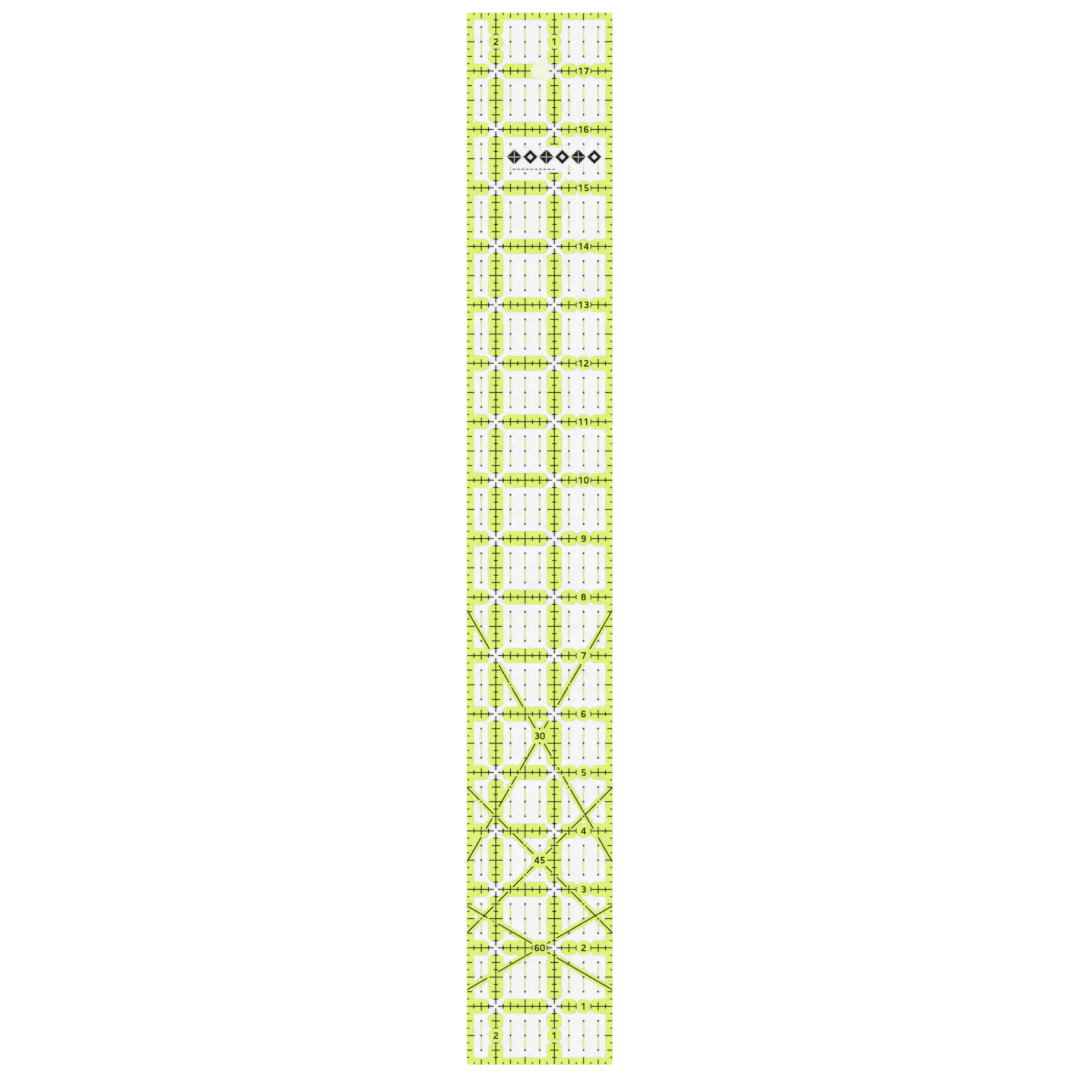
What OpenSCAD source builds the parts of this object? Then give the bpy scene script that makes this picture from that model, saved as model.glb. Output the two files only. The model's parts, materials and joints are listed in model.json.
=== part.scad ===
// Quilting ruler: a clear acrylic sheet, printed on its underside in lime and black, with a frosted
// grip coat over the print. It lies flat with its length along Y. The origin is on the underside, at
// the middle of the sheet. Places on the print are given in inches: across from the right-hand edge,
// and along from the bottom edge.

/* [Sheet] */
// Width of the ruler, in inches
width_in = 2.5; // [2.5:1:3.5]
// Length of the ruler, in inches
length_in = 18; // [14:1:24]
// Thickness of the acrylic
sheet_t = 3; // [2:0.1:5]
// Diameter of the hanging hole
hang_hole_d = 7.4; // [5:0.1:8]

/* [Layers] */
// Thickness of the frosted grip coat
grip_t = 0.1; // [0.05:0.01:0.4]
// Thickness of one ink layer
ink_t = 0.05; // [0.02:0.01:0.1]

/* [Lime print] */
// Width of the border round the sheet
border_w = 3.05; // [2:0.05:4]
// Width of the bands under the inch lines
band_w = 6.3; // [5:0.1:6.3]
// Diameter of the discs under the inch numbers
number_disc_d = 6.3; // [5:0.1:6.3]
// Diameter of the discs under the angle numbers
angle_disc_d = 6.7; // [6:0.1:8]
// Width of the bands under the angle lines
angle_band_w = 2.6; // [1.6:0.1:3.4]
// Width of the dashes between quarter-inch dots
dash_w = 0.45; // [0.4:0.05:1]

/* [Black print] */
// Width of the inch lines and of every tick
line_w = 0.5; // [0.3:0.05:0.6]
// Width of the angle lines
angle_line_w = 0.55; // [0.3:0.05:0.6]
// Length of an eighth-inch tick on an inch line
short_tick = 2; // [1.2:0.1:2.4]
// Length of a quarter-inch tick on an inch line
medium_tick = 3.6; // [2.6:0.1:4]
// Length of a half-inch tick on an inch line
long_tick = 6; // [4.2:0.1:6]
// Length of an eighth-inch tick on the edge
short_edge_tick = 1.1; // [0.8:0.1:1.6]
// Length of a quarter-inch tick on the edge
medium_edge_tick = 2.25; // [1.6:0.05:2.6]
// Length of a half-inch tick on the edge
long_edge_tick = 3.35; // [2.6:0.05:4]
// Diameter of the quarter-inch dots
dot_d = 0.85; // [0.4:0.05:1]
// Height of the numbers
number_h = 3; // [2.6:0.05:3.2]
// Width of one figure
number_w = 2.1; // [1.8:0.05:2.2]
// Width of a figure's stroke
number_stroke = 0.6; // [0.4:0.02:0.62]

/* [Hidden] */
$fn = 64;

inch = 25.4;
sheet_w = width_in * inch;
sheet_l = length_in * inch;
columns = floor(width_in);
rows = length_in - 1;
middle = width_in / 2;
hole_row = rows;

// The layers, from the underside up
lime_z = grip_t;
black_z = lime_z + ink_t;
sheet_z = black_z + ink_t;

lime = [0.886, 0.953, 0.494];
black = [0.12, 0.12, 0.09];

// How round the bands' corners are, and how far the bands stop short of a crossing or a number
band_corner_r = 2.3;
band_end_gap = 2.95;

// Gaps in the print
crossing_gap = 0.95;
number_clear_r = 3.05;
hole_lime_gap = 0.1;
hole_black_gap = 0.35;
edge_tick_inset = 0.1;
dash_end_gap = 0.8;
dash_side_gap = 0.35;

// Figures
figure_pitch = number_w + 0.3;
half_number_w = number_w / 2;
low_bowl = 0.26 * (number_h + number_stroke);
high_bowl = 0.24 * (number_h + number_stroke);
bowl_flat = max(0.05, half_number_w - low_bowl);

// Angle lines: the label, which is the angle from the long edge, and its place along the sheet in inches
fan_60 = [60, 2];
fan_45 = [45, 3.5];
fan_30 = [30, 5.625];
fans = [fan_60, fan_45, fan_30];

// How far an angle line keeps from other marks: a label, a number, a crossing, a dot and a line or tick
fan_label_r = 3.86;
fan_number_r = 3.9;
fan_crossing_r = 3.95;
fan_crossing_lime_r = 3.5;
fan_crossing_reach = 1.5;
fan_dot_r = 1.05;
fan_dot_reach = 0.4;
mark_gap = 0.66;
// Ticks that an angle line leaves a wider gap at: their places in inches, and the gap's width and height
crowded_ticks = [[0.25, 4, 2.9, 5.3], [2.25, 4, 2.9, 5.3], [2, 1.5, 7.1, 3.6]];
// A half-inch tick that an angle line runs over
run_over_tick = [2, 4.5];

// Patchwork strip: a row of blocks centred on the first lengthwise line, with stitches below
strip_cell = length_in - 3;
strip_in = [1, strip_cell + 0.53];
strip_blocks = 6;
block_w = 6.3;
block_pitch = 6.95;
stitch_in = [1.35, strip_cell + 0.32];
stitches = 10;
stitch_pitch = 1.9;
stitch_l = 1.1;
stitch_w = 0.4;
// Clear boxes round the blocks and the stitches: place in inches, then width and height
block_box = [1, strip_cell + 0.53, 44, 7.3];
stitch_box = [1.35, strip_cell + 0.34, 19, 3.2];
// The stretch along the sheet where the strip breaks a lengthwise band, in inches
strip_gap = [strip_cell + 0.265, strip_cell + 0.71];

function across(x_in) = sheet_w / 2 - x_in * inch;
function along(y_in) = y_in * inch - sheet_l / 2;
function tick_length(eighth) =
    eighth % 4 == 0 ? long_tick : eighth % 2 == 0 ? medium_tick : short_tick;
function edge_tick_length(eighth) =
    eighth % 4 == 0 ? long_edge_tick : eighth % 2 == 0 ? medium_edge_tick : short_edge_tick;

// How far a place on the print is from a fan's nearer line
function fan_distance(fan, x_in, y_in) =
    let (dx = (middle - x_in) * inch, dy = (y_in - fan[1]) * inch)
    min(abs(dx * cos(fan[0]) - dy * sin(fan[0])), abs(dx * cos(fan[0]) + dy * sin(fan[0])));

// First and last inch line that a fan reaches
function fan_low(fan) = max(1, floor(fan[1] - middle / tan(fan[0])));
function fan_high(fan) = min(rows, ceil(fan[1] + middle / tan(fan[0])));

// ---- Placing ----

module at(x_in, y_in) {
    translate([across(x_in), along(y_in)])
        children();
}

module stroke(x_in, y_in, w, l) {
    at(x_in, y_in)
        square([w, l], center = true);
}

module spot(x_in, y_in, r) {
    at(x_in, y_in)
        circle(r);
}

module sheet_outline() {
    square([sheet_w, sheet_l], center = true);
}

module lime_film() {
    color(lime)
        translate([0, 0, lime_z])
            linear_extrude(ink_t)
                children();
}

module black_film() {
    color(black)
        translate([0, 0, black_z])
            linear_extrude(ink_t)
                children();
}

// ---- Sheet and coat ----

module drilled_sheet(t) {
    linear_extrude(t)
        difference() {
            sheet_outline();
            spot(middle, hole_row, hang_hole_d / 2);
        }
}

module acrylic_blank() {
    color([0.93, 0.96, 0.97, 0.35])
        translate([0, 0, sheet_z])
            drilled_sheet(sheet_t);
}

module grip_coat() {
    color([0.96, 0.96, 0.97, 0.6])
        drilled_sheet(grip_t);
}

// ---- Lime print ----

module round_box(w, l, r) {
    square([w - 2 * r, l], center = true);
    square([w, l - 2 * r], center = true);
    for (x = [-1, 1], y = [-1, 1])
        translate([x * (w / 2 - r), y * (l / 2 - r)])
            circle(r);
}

// A band with round corners, which stops short of the two places that it runs between
module band(x1, y1, x2, y2) {
    run = (abs(x2 - x1) + abs(y2 - y1)) * inch - 2 * band_end_gap;
    at((x1 + x2) / 2, (y1 + y2) / 2)
        if (y1 == y2)
            round_box(run, band_w, band_corner_r);
        else
            round_box(band_w, run, band_corner_r);
}

module inside_border() {
    square([sheet_w - 2 * border_w, sheet_l - 2 * border_w], center = true);
}

module border_2d() {
    difference() {
        sheet_outline();
        inside_border();
    }
}

// A band that starts off the sheet, so that it runs in from the border
module edge_band(x1, y1, x2, y2) {
    intersection() {
        band(x1, y1, x2, y2);
        inside_border();
    }
}

module crosswise_band_2d(row) {
    edge_band(-0.3, row, 0.5, row);
    band(0.5, row, 1, row);
    for (column = [1 : columns - 1])
        band(column, row, column + 1, row);
    edge_band(columns, row, width_in + 0.3, row);
}

module lengthwise_band_2d(column, cell) {
    if (cell == 0) {
        edge_band(column, -0.3, column, 0.5);
        band(column, 0.5, column, 1);
    } else if (cell == rows) {
        band(column, rows, column, rows + 0.5);
        edge_band(column, rows + 0.5, column, length_in + 0.3);
    } else {
        band(column, cell, column, cell + 1);
    }
}

module number_discs_2d() {
    for (row = [1 : rows])
        spot(0.5, row, number_disc_d / 2);
    for (column = [1 : columns], y_in = [0.5, rows + 0.5])
        spot(column, y_in, number_disc_d / 2);
}

module hole_clearance(gap) {
    spot(middle, hole_row, hang_hole_d / 2 + gap);
}

module strip_clearance() {
    gap = strip_gap[1] - strip_gap[0];
    stroke(strip_in[0], strip_gap[0] + gap / 2, band_w + 1, gap * inch);
}

module strip_boxes() {
    for (box = [block_box, stitch_box])
        stroke(box[0], box[1], box[2], box[3]);
}

module lime_border() {
    lime_film()
        border_2d();
}

module lime_crosswise_bands() {
    lime_film()
        difference() {
            for (row = [1 : rows])
                crosswise_band_2d(row);
            number_discs_2d();
            hole_clearance(hole_lime_gap);
        }
}

module lime_lengthwise_bands() {
    lime_film()
        difference() {
            for (column = [1 : columns], cell = [0 : rows])
                lengthwise_band_2d(column, cell);
            number_discs_2d();
            strip_clearance();
        }
}

module lime_number_discs() {
    lime_film()
        number_discs_2d();
}

// Two bars that cross at the fan's label
module fan_bars(fan, w) {
    reach = 3 * sheet_w;
    intersection() {
        sheet_outline();
        at(middle, fan[1])
            for (side = [-1, 1])
                rotate(side * (90 - fan[0]))
                    square([reach, w], center = true);
    }
}

// Inch-line crossings that a fan runs through
module fan_crossings(fan, r) {
    for (column = [1 : columns], row = [fan_low(fan) : fan_high(fan)])
        if (fan_distance(fan, column, row) < fan_crossing_reach)
            spot(column, row, r);
}

module fan_band_2d(fan) {
    fan_bars(fan, angle_band_w);
    spot(middle, fan[1], angle_disc_d / 2);
}

// The lime that a fan's bands run into
module lime_near(fan) {
    border_2d();
    number_discs_2d();
    for (row = [fan_low(fan) : fan_high(fan)])
        crosswise_band_2d(row);
    for (column = [1 : columns], cell = [fan_low(fan) - 1 : fan_high(fan)])
        lengthwise_band_2d(column, cell);
}

module lime_band(fan) {
    lime_film()
        difference() {
            fan_band_2d(fan);
            lime_near(fan);
            fan_crossings(fan, fan_crossing_lime_r);
            for (other = fans)
                if (other[1] > fan[1])
                    fan_bars(other, angle_band_w);
        }
}

module lime_band_30() {
    lime_band(fan_30);
}

module lime_band_45() {
    lime_band(fan_45);
}

module lime_band_60() {
    lime_band(fan_60);
}

module lime_quarter_dashes() {
    dash_l = inch / 4 - 2 * dash_end_gap;
    lime_film()
        difference() {
            for (quarter = [1 : 4 * width_in - 1], row = [0 : rows], y_in = [0.375, 0.625])
                if (quarter % 4 != 0)
                    stroke(quarter / 4, row + y_in, dash_w, dash_l);
            for (fan = fans) {
                fan_bars(fan, angle_band_w + 2 * dash_side_gap);
                spot(middle, fan[1], angle_disc_d / 2);
            }
            strip_boxes();
        }
}

// ---- Black print ----

// The stretch of a crosswise line between two lengthwise lines, with its ticks
module crosswise_marks(row, cell) {
    to = min(width_in, cell + 1);
    stroke((cell + to) / 2, row, (to - cell) * inch, line_w);
    for (eighth = [1 : 7])
        if (cell + eighth / 8 < width_in)
            stroke(cell + eighth / 8, row, line_w, tick_length(eighth));
}

// The stretch of a lengthwise line between two crosswise lines, with its ticks
module lengthwise_marks(column, cell) {
    stroke(column, cell + 0.5, line_w, inch);
    for (eighth = [1 : 7])
        stroke(column, cell + eighth / 8, tick_length(eighth), line_w);
}

module crossing_clearance(column, row) {
    stroke(column, row, 2 * crossing_gap, 2 * crossing_gap);
}

module crosswise_lines() {
    black_film()
        for (row = [1 : rows], cell = [0 : columns])
            difference() {
                crosswise_marks(row, cell);
                for (column = [1 : columns])
                    crossing_clearance(column, row);
                spot(0.5, row, number_clear_r);
                for (fan = fans)
                    if (fan[1] == row)
                        spot(middle, row, number_clear_r);
                if (row == hole_row)
                    hole_clearance(hole_black_gap);
            }
}

module lengthwise_lines() {
    black_film()
        for (column = [1 : columns], cell = [0 : rows])
            difference() {
                lengthwise_marks(column, cell);
                if (cell > 0)
                    crossing_clearance(column, cell);
                if (cell < rows)
                    crossing_clearance(column, cell + 1);
                if (cell == 0 || cell == rows)
                    spot(column, cell + 0.5, number_clear_r);
                if (column == strip_in[0] && cell == strip_cell)
                    stroke(column, cell + 0.5, long_tick + 1, inch / 2 - line_w);
            }
}

// Ticks along one long edge, from its bottom end: side is -1 for the left edge and 1 for the right
module side_ticks(side) {
    for (eighth = [1 : 8 * length_in - 1])
        if (eighth % 8 != 0) {
            l = edge_tick_length(eighth);
            translate([side * (sheet_w / 2 - edge_tick_inset - l / 2), along(eighth / 8)])
                square([l, line_w], center = true);
        }
}

// Ticks along one short edge: side is -1 for the bottom edge and 1 for the top
module end_ticks(side) {
    for (eighth = [1 : 8 * width_in - 1])
        if (eighth % 8 != 0) {
            l = edge_tick_length(eighth);
            translate([across(eighth / 8), side * (sheet_l / 2 - edge_tick_inset - l / 2)])
                square([line_w, l], center = true);
        }
}

module left_edge_ticks() {
    black_film()
        side_ticks(-1);
}

module right_edge_ticks() {
    black_film()
        side_ticks(1);
}

module top_edge_ticks() {
    black_film()
        end_ticks(1);
}

module bottom_edge_ticks() {
    black_film()
        end_ticks(-1);
}

// Whether a dot's place is under a fan's label or the patchwork strip
function covered(x_in, y_in) =
    (x_in == middle && len([for (fan = fans) if (fan[1] == y_in) fan]) > 0) ||
    (y_in > strip_gap[0] && y_in < strip_gap[1] && abs(x_in - block_box[0]) * inch < block_box[2] / 2);

module quarter_dots() {
    black_film()
        for (quarter = [1 : 4 * width_in - 1], level = [1 : 4 * length_in - 1])
            if (quarter % 4 != 0 && level % 4 != 0 && !covered(quarter / 4, level / 4))
                spot(quarter / 4, level / 4, dot_d / 2);
}

// Whether a fan's line comes to a tick, or to within the gap of its end
function meets_upright_tick(fan, x_in, y_in, l) =
    fan_distance(fan, x_in, y_in) / sin(fan[0]) < l / 2 + mark_gap;
function meets_level_tick(fan, x_in, y_in, l) =
    fan_distance(fan, x_in, y_in) / cos(fan[0]) < l / 2 + mark_gap && [x_in, y_in] != run_over_tick;

// The inch lines and ticks that a fan's lines keep clear of
module fan_rule_clearance(fan) {
    wide = line_w + 2 * mark_gap;
    for (row = [fan_low(fan) : fan_high(fan)]) {
        stroke(middle, row, sheet_w, wide);
        for (eighth = [1 : 8 * width_in - 1]) {
            l = tick_length(eighth);
            if (meets_upright_tick(fan, eighth / 8, row, l))
                stroke(eighth / 8, row, wide, l + 2 * mark_gap);
        }
    }
    for (column = [1 : columns]) {
        stroke(column, fan[1], wide, 2 * sheet_w);
        for (eighth = [8 * fan_low(fan) - 8 : 8 * fan_high(fan) + 8]) {
            l = tick_length(eighth);
            if (meets_level_tick(fan, column, eighth / 8, l))
                stroke(column, eighth / 8, l + 2 * mark_gap, wide);
        }
    }
    for (tick = crowded_ticks)
        stroke(tick[0], tick[1], tick[2], tick[3]);
    stroke(run_over_tick[0], run_over_tick[1], long_tick, line_w);
}

// The numbers, dots, crossings and label that a fan's lines keep clear of
module fan_spot_clearance(fan) {
    for (row = [fan_low(fan) : fan_high(fan)])
        spot(0.5, row, fan_number_r);
    for (quarter = [1 : 4 * width_in - 1], level = [4 * fan_low(fan) - 3 : 4 * fan_high(fan) + 3])
        if (quarter % 4 != 0 && level % 4 != 0)
            if (fan_distance(fan, quarter / 4, level / 4) < fan_dot_reach)
                spot(quarter / 4, level / 4, fan_dot_r);
    fan_crossings(fan, fan_crossing_r);
    spot(middle, fan[1], fan_label_r);
}

module fan_edge_ticks(fan) {
    for (side = [-1, 1])
        for (eighth = [8 * fan_low(fan) - 8 : 8 * fan_high(fan) + 8])
            if (eighth % 8 != 0) {
                l = edge_tick_length(eighth);
                translate([side * (sheet_w / 2 - edge_tick_inset - l / 2), along(eighth / 8)])
                    square([l, line_w], center = true);
            }
}

module angle_line(fan) {
    black_film()
        difference() {
            fan_bars(fan, angle_line_w);
            fan_rule_clearance(fan);
            fan_spot_clearance(fan);
            fan_edge_ticks(fan);
            for (other = fans)
                if (other[1] > fan[1])
                    fan_bars(other, angle_line_w);
        }
}

module angle_line_30() {
    angle_line(fan_30);
}

module angle_line_45() {
    angle_line(fan_45);
}

module angle_line_60() {
    angle_line(fan_60);
}

// ---- Figures ----

// A disc drawn out sideways, with a short flat above and below
module oval(r) {
    square([2 * bowl_flat, 2 * r], center = true);
    for (side = [-1, 1])
        translate([side * bowl_flat, 0])
            circle(r);
}

module ring(r, y) {
    translate([0, y])
        difference() {
            oval(r);
            oval(r - number_stroke);
        }
}

// Part of a ring, between two angles
module bowl(r, y, from, to) {
    steps = 4;
    intersection() {
        ring(r, y);
        translate([0, y])
            polygon(concat([[0, 0]], [
                for (i = [0 : steps])
                    let (a = from + (to - from) * i / steps)
                    3 * r * [cos(a), sin(a)]
            ]));
    }
}

module zero() {
    straight = number_h - 2 * low_bowl;
    outer = low_bowl + bowl_flat;
    bowl(low_bowl, number_h - low_bowl, 0, 180);
    bowl(low_bowl, low_bowl, 180, 360);
    for (x = [-outer, outer - number_stroke])
        translate([x, low_bowl - 0.05])
            square([number_stroke, straight + 0.1]);
}

module one() {
    left = -0.15;
    flag = 0.75;
    polygon([
        [left, 0], [left + number_stroke, 0], [left + number_stroke, number_h],
        [left + 0.1, number_h], [left - flag, number_h - 0.5], [left - flag, number_h - 1],
        [left, number_h - 0.75]
    ]);
}

module two() {
    y = number_h - high_bowl;
    end = [cos(-45), sin(-45)];
    bowl(high_bowl, y, -48, 170);
    polygon([
        [bowl_flat, y] + (high_bowl - number_stroke) * end,
        [-half_number_w, number_stroke], [-half_number_w, 0],
        [half_number_w, 0], [half_number_w, number_stroke],
        [-half_number_w + 1.3 * number_stroke, number_stroke],
        [bowl_flat, y] + high_bowl * end,
        [bowl_flat, y] + (high_bowl - number_stroke / 2) * [cos(-20), sin(-20)]
    ]);
}

module three() {
    bowl(high_bowl, number_h - high_bowl, -90, 160);
    bowl(low_bowl, low_bowl, -160, 90);
    translate([-0.35, 2 * low_bowl - number_stroke])
        square([0.35, number_stroke]);
}

module four() {
    stem = 0.15;
    bar = 0.6;
    bar_top = bar + 0.5;
    difference() {
        polygon([
            [stem, 0], [stem + number_stroke, 0], [stem + number_stroke, bar], [half_number_w, bar],
            [half_number_w, bar_top], [stem + number_stroke, bar_top],
            [stem + number_stroke, number_h], [stem, number_h],
            [-half_number_w - 0.05, bar_top + 0.1], [-half_number_w - 0.05, bar], [stem, bar]
        ]);
        polygon([[stem, bar_top], [stem, number_h - 0.85], [-0.5, bar_top]]);
    }
}

module five() {
    left = -0.75;
    right = 0.85;
    shoulder = number_h - number_stroke;
    bowl(low_bowl, low_bowl, -155, 140);
    polygon([
        [left, number_h], [right, number_h], [right, shoulder],
        [left + number_stroke - 0.1, shoulder], [left + number_stroke - 0.2, 1.7],
        [left + number_stroke - 0.25, 1.35], [left - 0.14, 1.35]
    ]);
}

module six() {
    ring(low_bowl, low_bowl);
    translate([-low_bowl - bowl_flat, low_bowl])
        square([number_stroke, number_h - 2 * low_bowl + 0.05]);
    bowl(low_bowl, number_h - low_bowl, 25, 180);
}

module seven() {
    shoulder = number_h - number_stroke;
    polygon([
        [-half_number_w, number_h], [half_number_w, number_h], [half_number_w, shoulder],
        [0.05, 0], [-0.58, 0], [half_number_w - 0.72, shoulder], [-half_number_w, shoulder]
    ]);
}

module eight() {
    ring(high_bowl, number_h - high_bowl);
    ring(low_bowl, low_bowl);
}

module nine() {
    translate([0, number_h])
        rotate(180)
            six();
}

module figure(digit) {
    translate([0, -number_h / 2]) {
        if (digit == 0) zero();
        if (digit == 1) one();
        if (digit == 2) two();
        if (digit == 3) three();
        if (digit == 4) four();
        if (digit == 5) five();
        if (digit == 6) six();
        if (digit == 7) seven();
        if (digit == 8) eight();
        if (digit == 9) nine();
    }
}

// A number of one or two figures, centred on its place
module number(value, x_in, y_in) {
    at(x_in, y_in)
        if (value > 9) {
            translate([-figure_pitch / 2, 0])
                figure(floor(value / 10));
            translate([figure_pitch / 2, 0])
                figure(value % 10);
        } else {
            figure(value);
        }
}

module inch_numbers() {
    black_film()
        for (row = [1 : rows])
            number(row, 0.5, row);
}

module column_numbers() {
    black_film()
        for (column = [1 : columns], y_in = [0.5, rows + 0.5])
            number(column, column, y_in);
}

module angle_numbers() {
    black_film()
        for (fan = fans)
            number(fan[0], middle, fan[1]);
}

// ---- Patchwork strip ----

// Four half-square triangles that turn round the block's middle
module pinwheel() {
    half = block_w / 2;
    for (turn = [0 : 3])
        rotate(90 * turn)
            polygon([[0.15, 0.15], [half, 0.15], [0.15, half]]);
}

// A square on its point, with a square hole
module diamond() {
    rotate(45)
        difference() {
            square(block_w * 0.7, center = true);
            square(block_w * 0.3, center = true);
        }
}

module patchwork_strip() {
    black_film() {
        at(strip_in[0], strip_in[1])
            for (i = [0 : strip_blocks - 1])
                translate([(i - (strip_blocks - 1) / 2) * block_pitch, 0])
                    if (i % 2 == 0)
                        pinwheel();
                    else
                        diamond();
        at(stitch_in[0], stitch_in[1])
            for (i = [0 : stitches - 1])
                translate([(i - (stitches - 1) / 2) * stitch_pitch, 0])
                    square([stitch_l, stitch_w], center = true);
    }
}

acrylic_blank();
grip_coat();
lime_border();
lime_crosswise_bands();
lime_lengthwise_bands();
lime_number_discs();
lime_band_30();
lime_band_45();
lime_band_60();
lime_quarter_dashes();
crosswise_lines();
lengthwise_lines();
left_edge_ticks();
right_edge_ticks();
top_edge_ticks();
bottom_edge_ticks();
quarter_dots();
inch_numbers();
column_numbers();
angle_line_30();
angle_line_45();
angle_line_60();
angle_numbers();
patchwork_strip();
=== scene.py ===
"""Looks for the quilting ruler: clear acrylic over lime and black print on a frosted coat."""

import json
import math

import bmesh
import bpy
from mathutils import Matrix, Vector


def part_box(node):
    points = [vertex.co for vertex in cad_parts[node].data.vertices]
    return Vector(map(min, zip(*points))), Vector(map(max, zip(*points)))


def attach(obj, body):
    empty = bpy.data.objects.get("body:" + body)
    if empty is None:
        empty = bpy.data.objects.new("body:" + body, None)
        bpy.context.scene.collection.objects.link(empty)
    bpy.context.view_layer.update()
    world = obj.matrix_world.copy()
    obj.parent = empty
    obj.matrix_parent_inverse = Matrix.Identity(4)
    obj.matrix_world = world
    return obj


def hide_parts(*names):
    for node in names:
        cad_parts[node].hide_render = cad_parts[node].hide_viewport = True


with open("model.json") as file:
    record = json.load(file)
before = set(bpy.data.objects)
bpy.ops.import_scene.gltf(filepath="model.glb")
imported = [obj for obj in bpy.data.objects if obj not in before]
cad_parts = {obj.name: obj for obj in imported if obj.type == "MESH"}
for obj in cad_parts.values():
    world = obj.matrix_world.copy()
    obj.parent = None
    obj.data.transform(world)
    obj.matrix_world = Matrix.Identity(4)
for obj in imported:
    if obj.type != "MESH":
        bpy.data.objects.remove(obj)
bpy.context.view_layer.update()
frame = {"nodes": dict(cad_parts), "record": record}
sheet_low, sheet_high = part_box("acrylic_blank")

MM = 0.001

# The camera looks straight down; FRAME_WIDTH is what the picture spans at the print
CAMERA_HEIGHT = 3.0
CAMERA_AT = (0.13 * MM, -0.59 * MM)
CAMERA_CLIP = (0.1, 100)
FRAME_WIDTH = 469.45 * MM
SENSOR = 36.0

# The acrylic piece. INK_GAP keeps its underside off the ink's top face
ACRYLIC_IOR = 1.49
INK_GAP = 0.02 * MM
CHAMFER = 0.2 * MM
HOLE_STEPS = 96

# Edges that turn by more than SHARP_EDGE get a chamfer, and those past SMOOTH_UP_TO stay crisp.
# A face whose normal's z is over LEVEL is polished. The rest are sawn, or drilled near the hole
SHARP_EDGE = math.radians(30)
SMOOTH_UP_TO = math.radians(25)
LEVEL = 0.9
POLISHED, SAWN, DRILLED = range(3)

# The share of red, green and blue that a sawn edge and the drilled wall let through. The drilled
# wall's low, lime-leaning share is painted shade and painted lime bounce light on the floor seen
# in the hole
EDGE_PASSES = (0.95, 0.97, 0.88)
HOLE_PAINTED_SHADE = (0.65, 0.69, 0.45)

# The floor lies just under the coat, so that the two faces don't share a plane
FLOOR_DROP = 0.05 * MM
FLOOR_SIZE = 30.0

# Each ink where it is full, and where it is mottled or worn thin
LIME = (0.650, 0.775, 0.142)
LIME_THIN = (0.680, 0.800, 0.165)
BLACK = (0.006, 0.006, 0.003)
BLACK_THIN = (0.012, 0.012, 0.006)

# The sky's strength near the horizon and overhead, and the upward slopes between which it fades
SKY_LOW, SKY_OVERHEAD = 1.11, 0.03
SKY_FADE = (0.5, 0.97)

# Each soft box's place, size and power. Each has a twin across the middle of the sheet
SIDE_BOX = ((1.5, 0, 1.5), 1.4, 17.3)
END_BOX = ((0, 1.9, 1.3), 1.2, 4.9)

# How far wear reaches in from the sheet's outer edges, and from the arrises of a cut wall
EDGE_WEAR = 5 * MM
ARRIS_WEAR = 0.5 * MM


# ---- Node trees ----


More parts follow.
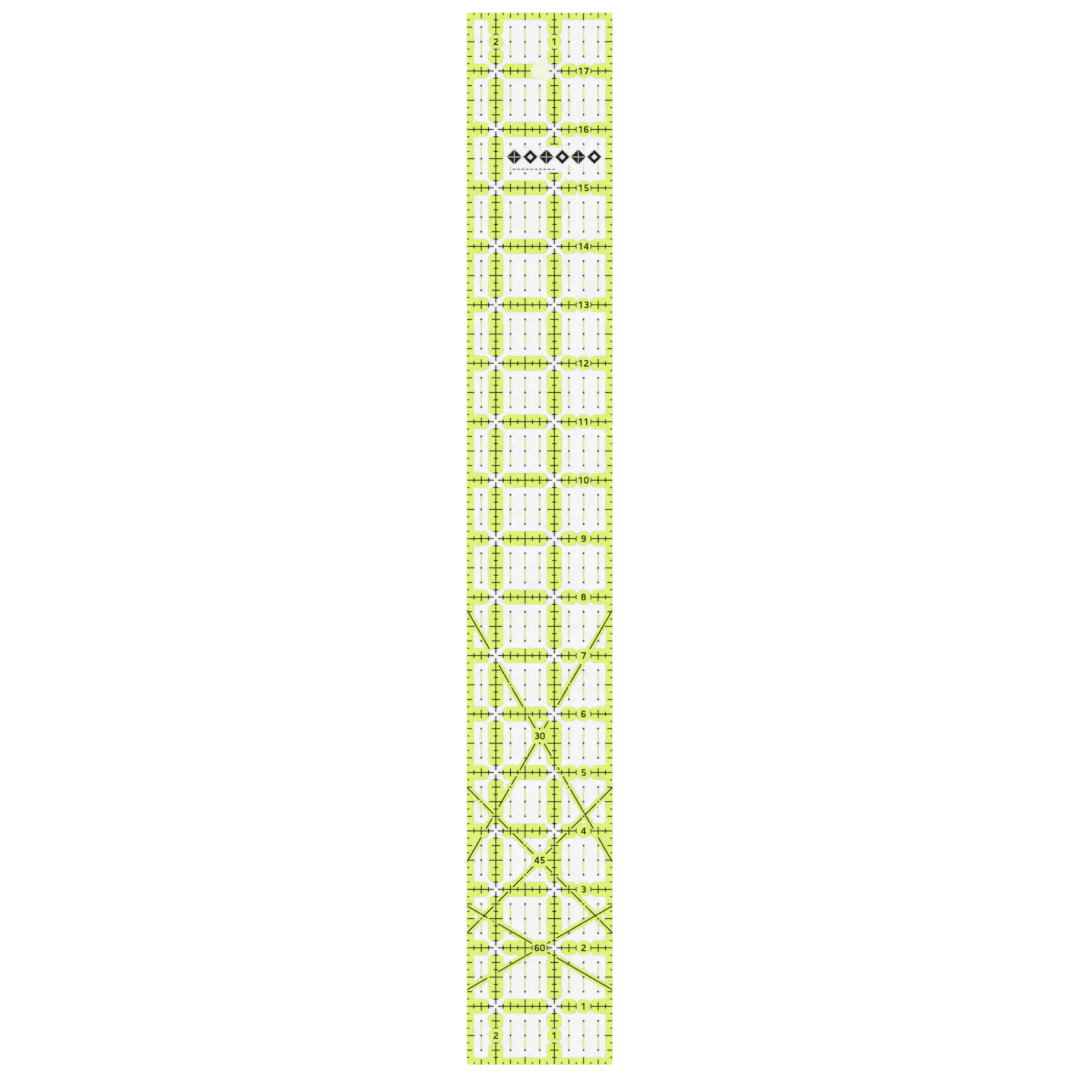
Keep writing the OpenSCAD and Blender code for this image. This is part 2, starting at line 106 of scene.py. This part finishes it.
class Tree:
    """A material's node tree, with short ways to add nodes and link them."""

    def __init__(self, name):
        self.material = bpy.data.materials.new(name)
        self.material.use_nodes = True
        self.nodes = self.material.node_tree.nodes
        self.links = self.material.node_tree.links
        self.nodes.clear()
        self.output = self.add("ShaderNodeOutputMaterial")
        self.place = self.add("ShaderNodeTexCoord").outputs["Object"]

    def add(self, kind, values=None, **settings):
        """A new node with its settings, and its inputs set to values or linked to sockets."""
        node = self.nodes.new(kind)
        for key, value in settings.items():
            setattr(node, key, value)
        for key, value in (values or {}).items():
            if isinstance(value, bpy.types.NodeSocket):
                self.links.new(value, node.inputs[key])
            else:
                node.inputs[key].default_value = value
        return node

    def stretched(self, scale):
        """The object's coordinates, scaled by an amount for each axis."""
        return self.add(
            "ShaderNodeMapping", {"Vector": self.place, "Scale": scale}
        ).outputs["Vector"]

    def noise(self, per_metre, detail=2.0, rough=0.5, place=None):
        """Noise with that many features to a metre."""
        return self.add(
            "ShaderNodeTexNoise",
            {
                "Vector": place or self.place,
                "Scale": per_metre,
                "Detail": detail,
                "Roughness": rough,
            },
        ).outputs["Fac"]

    def spread(self, factor, low, high, start=0.3, stop=0.7):
        """Factor from start to stop, brought to the range low to high."""
        return self.add(
            "ShaderNodeMapRange",
            {"Value": factor, "From Min": start, "From Max": stop, "To Min": low, "To Max": high},
        ).outputs["Result"]

    def blend(self, factor, first, second):
        """One colour going over to another."""
        node = self.add("ShaderNodeMix", data_type="RGBA")
        self.links.new(factor, node.inputs["Factor"])
        for key, value in (("A", first), ("B", second)):
            socket = next(s for s in node.inputs if s.name == key and s.type == "RGBA")
            if isinstance(value, bpy.types.NodeSocket):
                self.links.new(value, socket)
            else:
                socket.default_value = (*value, 1)
        return next(s for s in node.outputs if s.type == "RGBA")

    def maths(self, first, second, operation="ADD"):
        """Two values added together, or put through another operation."""
        return self.add("ShaderNodeMath", {0: first, 1: second}, operation=operation).outputs[0]

    def wear(self, reach, axes, per_metre=400):
        """Patchy wear, from the sheet's bounds along those axes to nothing at reach metres in."""
        split = self.add("ShaderNodeSeparateXYZ", {"Vector": self.place}).outputs
        gaps = []
        for axis in axes:
            gaps.append(self.maths(split[axis.upper()], getattr(sheet_low, axis), "SUBTRACT"))
            gaps.append(self.maths(getattr(sheet_high, axis), split[axis.upper()], "SUBTRACT"))
        gap = gaps[0]
        for other in gaps[1:]:
            gap = self.maths(gap, other, "MINIMUM")
        near = self.spread(gap, 1, 0, 0, reach)
        patches = self.spread(self.noise(per_metre, detail=4, rough=0.7), 0, 1, 0.4, 0.65)
        return self.maths(near, patches, "MULTIPLY")

    def bump(self, height, depth, normal=None):
        """A bump of that depth in metres."""
        values = {"Height": height, "Distance": depth, "Strength": 1.0}
        if normal is not None:
            values["Normal"] = normal
        return self.add("ShaderNodeBump", values).outputs["Normal"]

    def finish(self, shader):
        """The material, with that shader as its surface."""
        self.links.new(shader, self.output.inputs["Surface"])
        return self.material

    def lets_light_through(self, shader, tint=None):
        """Glass that passes the light which reaches the print below it, rather than bending it.

        A tint colours the light that goes in from the air, and not the light that comes out.
        """
        clear = self.add("ShaderNodeBsdfTransparent", {"Color": (1, 1, 1, 1)})
        if tint:
            leaving = self.add("ShaderNodeNewGeometry").outputs["Backfacing"]
            self.links.new(self.blend(leaving, tint, (1, 1, 1)), clear.inputs["Color"])
        rays = self.add("ShaderNodeLightPath")
        for kind in ("Is Diffuse Ray", "Is Shadow Ray"):
            shader = self.add(
                "ShaderNodeMixShader", {0: rays.outputs[kind], 1: shader, 2: clear.outputs[0]}
            ).outputs[0]
        return self.finish(shader)


def make_acrylic():
    """Polished sheet: faint waves, hairline scratches, and more scuffs towards the edges."""
    t = Tree("clear_acrylic")
    waves = t.noise(45, detail=1)
    scratches = t.noise(900, detail=4, rough=0.7, place=t.stretched((1, 0.04, 1)))
    scuffs = t.maths(t.wear(EDGE_WEAR, "xy"), 0.12, "MULTIPLY")
    shader = t.add(
        "ShaderNodeBsdfPrincipled",
        {
            "Base Color": (1, 1, 1, 1),
            "Transmission Weight": 1.0,
            "IOR": ACRYLIC_IOR,
            "Roughness": t.maths(t.spread(scratches, 0.0, 0.05, 0.45, 0.75), scuffs),
            "Normal": t.bump(waves, 0.02 * MM),
        },
    )
    return t.lets_light_through(shader.outputs[0])


def make_cut_acrylic(name, passes):
    """A wall left by a cutter: fine upright tool marks, and nicked and whitened arrises. Its pale
    lime is a painted reflection of the lime print, varied with the tool chatter.
    """
    t = Tree(name)
    marks = t.noise(3500, detail=3, place=t.stretched((1, 1, 0.05)))
    chatter = t.noise(500, detail=1, place=t.stretched((1, 1, 0.05)))
    worn = t.wear(ARRIS_WEAR, "z", per_metre=1500)
    # Painted reflection: the clear wall is tinted pale lime for the print seen in it, and the
    # tool chatter varies the tint
    chatter_and_painted_print_reflection = t.blend(t.spread(chatter, 0, 1), (0.80, 0.88, 0.50), (0.90, 0.95, 0.70))
    shader = t.add(
        "ShaderNodeBsdfPrincipled",
        {
            "Base Color": t.blend(worn, chatter_and_painted_print_reflection, (0.95, 0.97, 0.90)),
            "Transmission Weight": 0.55,
            "IOR": ACRYLIC_IOR,
            "Roughness": t.maths(t.spread(marks, 0.25, 0.5), t.maths(worn, 0.25, "MULTIPLY")),
            "Normal": t.bump(worn, 0.08 * MM, t.bump(marks, 0.03 * MM)),
        },
    )
    return t.lets_light_through(shader.outputs[0], passes)


def make_coat():
    """Frosted non-slip film: a fine pebble, cloudy in places and rubbed smooth near the edges."""
    t = Tree("frosted_coat")
    pebble = t.noise(2600, detail=2, rough=0.6)
    cloud = t.noise(60, detail=2)
    rubbed = t.maths(t.wear(EDGE_WEAR, "xy"), 0.2, "MULTIPLY")
    shader = t.add(
        "ShaderNodeBsdfPrincipled",
        {
            "Base Color": t.blend(t.spread(cloud, 0, 1), (0.96, 0.96, 0.97), (0.98, 0.98, 0.985)),
            "Roughness": t.maths(t.spread(pebble, 0.5, 0.75), rubbed, "SUBTRACT"),
            "Alpha": 0.4,
            "Specular IOR Level": 0.1,
            "Normal": t.bump(pebble, 0.06 * MM),
        },
    )
    return t.finish(shader.outputs[0])


def make_ink(name, full, thin):
    """Screen-printed ink: slight mottling, a fine grain, and thinner towards the edges."""
    t = Tree(name)
    mottle = t.noise(420, detail=3, rough=0.6)
    grain = t.noise(5200, detail=1)
    worn = t.maths(t.spread(mottle, 0, 1), t.wear(EDGE_WEAR, "xy"), "MAXIMUM")
    shader = t.add(
        "ShaderNodeBsdfPrincipled",
        {
            "Base Color": t.blend(worn, full, thin),
            "Roughness": t.spread(grain, 0.45, 0.65),
            "Specular IOR Level": 0.1,
            "Normal": t.bump(grain, 0.01 * MM),
        },
    )
    return t.finish(shader.outputs[0])


def make_floor():
    """Plain pale matte floor."""
    t = Tree("studio_floor")
    shader = t.add(
        "ShaderNodeBsdfPrincipled",
        {"Base Color": (0.93, 0.93, 0.93, 1), "Roughness": 0.9, "Specular IOR Level": 0.0},
    )
    return t.finish(shader.outputs[0])


# ---- Pieces ----


def build_sheet():
    """The acrylic sheet with its hanging hole, and a fine chamfer along every cut edge."""
    bore = next(m for m in frame["record"]["mounts"] if m["name"] == "hang_hole")
    hole_x, hole_y = bore["pos_m"][:2]
    radius = bore["dims"]["r_mm"] * MM
    bottom, top = sheet_low.z + INK_GAP, sheet_high.z
    left, right = sheet_low.x, sheet_high.x
    near, far = sheet_low.y, sheet_high.y
    bm = bmesh.new()
    corners = [(left, near), (right, near), (right, far), (left, far)]
    turns = [2 * math.pi * i / HOLE_STEPS for i in range(HOLE_STEPS)]
    rim = [(hole_x + radius * math.cos(a), hole_y + radius * math.sin(a)) for a in turns]
    edges = []
    for loop in (corners, rim):
        verts = [bm.verts.new((x, y, bottom)) for x, y in loop]
        edges += [bm.edges.new((verts[i - 1], verts[i])) for i in range(len(verts))]
    faces = bmesh.ops.triangle_fill(bm, edges=edges, use_beauty=True)["geom"]
    faces = [g for g in faces if isinstance(g, bmesh.types.BMFace)]
    raised = bmesh.ops.extrude_face_region(bm, geom=faces)["geom"]
    raised = [g for g in raised if isinstance(g, bmesh.types.BMVert)]
    bmesh.ops.translate(bm, verts=raised, vec=(0, 0, top - bottom))
    bmesh.ops.recalc_face_normals(bm, faces=bm.faces)
    sharp = [e for e in bm.edges if e.calc_face_angle(0) > SHARP_EDGE]
    bmesh.ops.bevel(
        bm, geom=sharp, offset=CHAMFER, offset_type="OFFSET", segments=1, affect="EDGES"
    )
    bmesh.ops.recalc_face_normals(bm, faces=bm.faces)
    for face in bm.faces:
        face.smooth = True
        centre = face.calc_center_median()
        if abs(face.normal.z) > LEVEL:
            face.material_index = POLISHED
        elif math.dist(centre[:2], (hole_x, hole_y)) > 2 * radius:
            face.material_index = SAWN
        else:
            face.material_index = DRILLED
    mesh = bpy.data.meshes.new("clear_sheet")
    bm.to_mesh(mesh)
    bm.free()
    mesh.set_sharp_from_angle(angle=SMOOTH_UP_TO)
    sheet = bpy.data.objects.new("clear_sheet", mesh)
    bpy.context.scene.collection.objects.link(sheet)
    materials = {
        POLISHED: make_acrylic(),
        SAWN: make_cut_acrylic("cut_acrylic", EDGE_PASSES),
        # The drilled wall's tint on passing light paints shade and lime bounce light onto the
        # floor in the hole
        DRILLED: make_cut_acrylic("drilled_acrylic", HOLE_PAINTED_SHADE),
    }
    for material in materials.values():
        mesh.materials.append(material)
    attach(sheet, "root")
    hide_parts("acrylic_blank")


def paint(node, material):
    """Gives a CAD node one material."""
    mesh = frame["nodes"][node].data
    mesh.materials.clear()
    mesh.materials.append(material)


def paint_print():
    """Gives the inks and the coat their materials, by the slot that the record names."""
    materials = {
        "lime_ink": make_ink("lime_ink", LIME, LIME_THIN),
        "black_ink": make_ink("black_ink", BLACK, BLACK_THIN),
        "frosted_coat": make_coat(),
    }
    for row in frame["record"]["subparts"]:
        if row["material_slot"] in materials:
            paint(row["node"], materials[row["material_slot"]])


# ---- Stage ----


def add_floor():
    """A level floor that reaches well past the view."""
    half = FLOOR_SIZE / 2
    mesh = bpy.data.meshes.new("floor")
    corners = [(-half, -half), (half, -half), (half, half), (-half, half)]
    mesh.from_pydata([(x, y, -FLOOR_DROP) for x, y in corners], [], [(0, 1, 2, 3)])
    floor = bpy.data.objects.new("floor", mesh)
    bpy.context.scene.collection.objects.link(floor)
    mesh.materials.append(make_floor())


def add_softboxes(name, place, size, power):
    """A soft box and its twin, both turned to the middle of the sheet."""
    for side in (-1, 1):
        light = bpy.data.lights.new(name, "AREA")
        light.shape = "SQUARE"
        light.size = size
        light.energy = power
        lamp = bpy.data.objects.new(name, light)
        bpy.context.scene.collection.objects.link(lamp)
        lamp.location = (side * place[0], side * place[1], place[2])
        lamp.rotation_euler = (-lamp.location).to_track_quat("-Z", "Y").to_euler()
        lamp.visible_camera = False


def add_world():
    """Pale light from all round, dimmer overhead so that the acrylic doesn't mirror it."""
    world = bpy.data.worlds.new("studio")
    world.use_nodes = True
    nodes, links = world.node_tree.nodes, world.node_tree.links
    background = nodes["Background"]
    background.inputs["Color"].default_value = (1, 1, 1, 1)
    place = nodes.new("ShaderNodeTexCoord")
    split = nodes.new("ShaderNodeSeparateXYZ")
    ramp = nodes.new("ShaderNodeMapRange")
    ramp.inputs["From Min"].default_value = SKY_FADE[0]
    ramp.inputs["From Max"].default_value = SKY_FADE[1]
    ramp.inputs["To Min"].default_value = SKY_LOW
    ramp.inputs["To Max"].default_value = SKY_OVERHEAD
    links.new(place.outputs["Generated"], split.inputs[0])
    links.new(split.outputs["Z"], ramp.inputs["Value"])
    links.new(ramp.outputs["Result"], background.inputs["Strength"])
    bpy.context.scene.world = world


def add_camera():
    """A camera straight above, whose lens makes FRAME_WIDTH fill the picture at the print."""
    data = bpy.data.cameras.new("camera")
    data.sensor_width = SENSOR
    data.lens = SENSOR * CAMERA_HEIGHT / FRAME_WIDTH
    data.clip_start, data.clip_end = CAMERA_CLIP
    camera = bpy.data.objects.new("camera", data)
    bpy.context.scene.collection.objects.link(camera)
    camera.location = (*CAMERA_AT, CAMERA_HEIGHT)
    bpy.context.scene.camera = camera


build_sheet()
paint_print()
add_floor()
add_world()
add_softboxes("softbox_side", *SIDE_BOX)
add_softboxes("softbox_end", *END_BOX)
add_camera()
bpy.context.scene.view_settings.view_transform = "Standard"
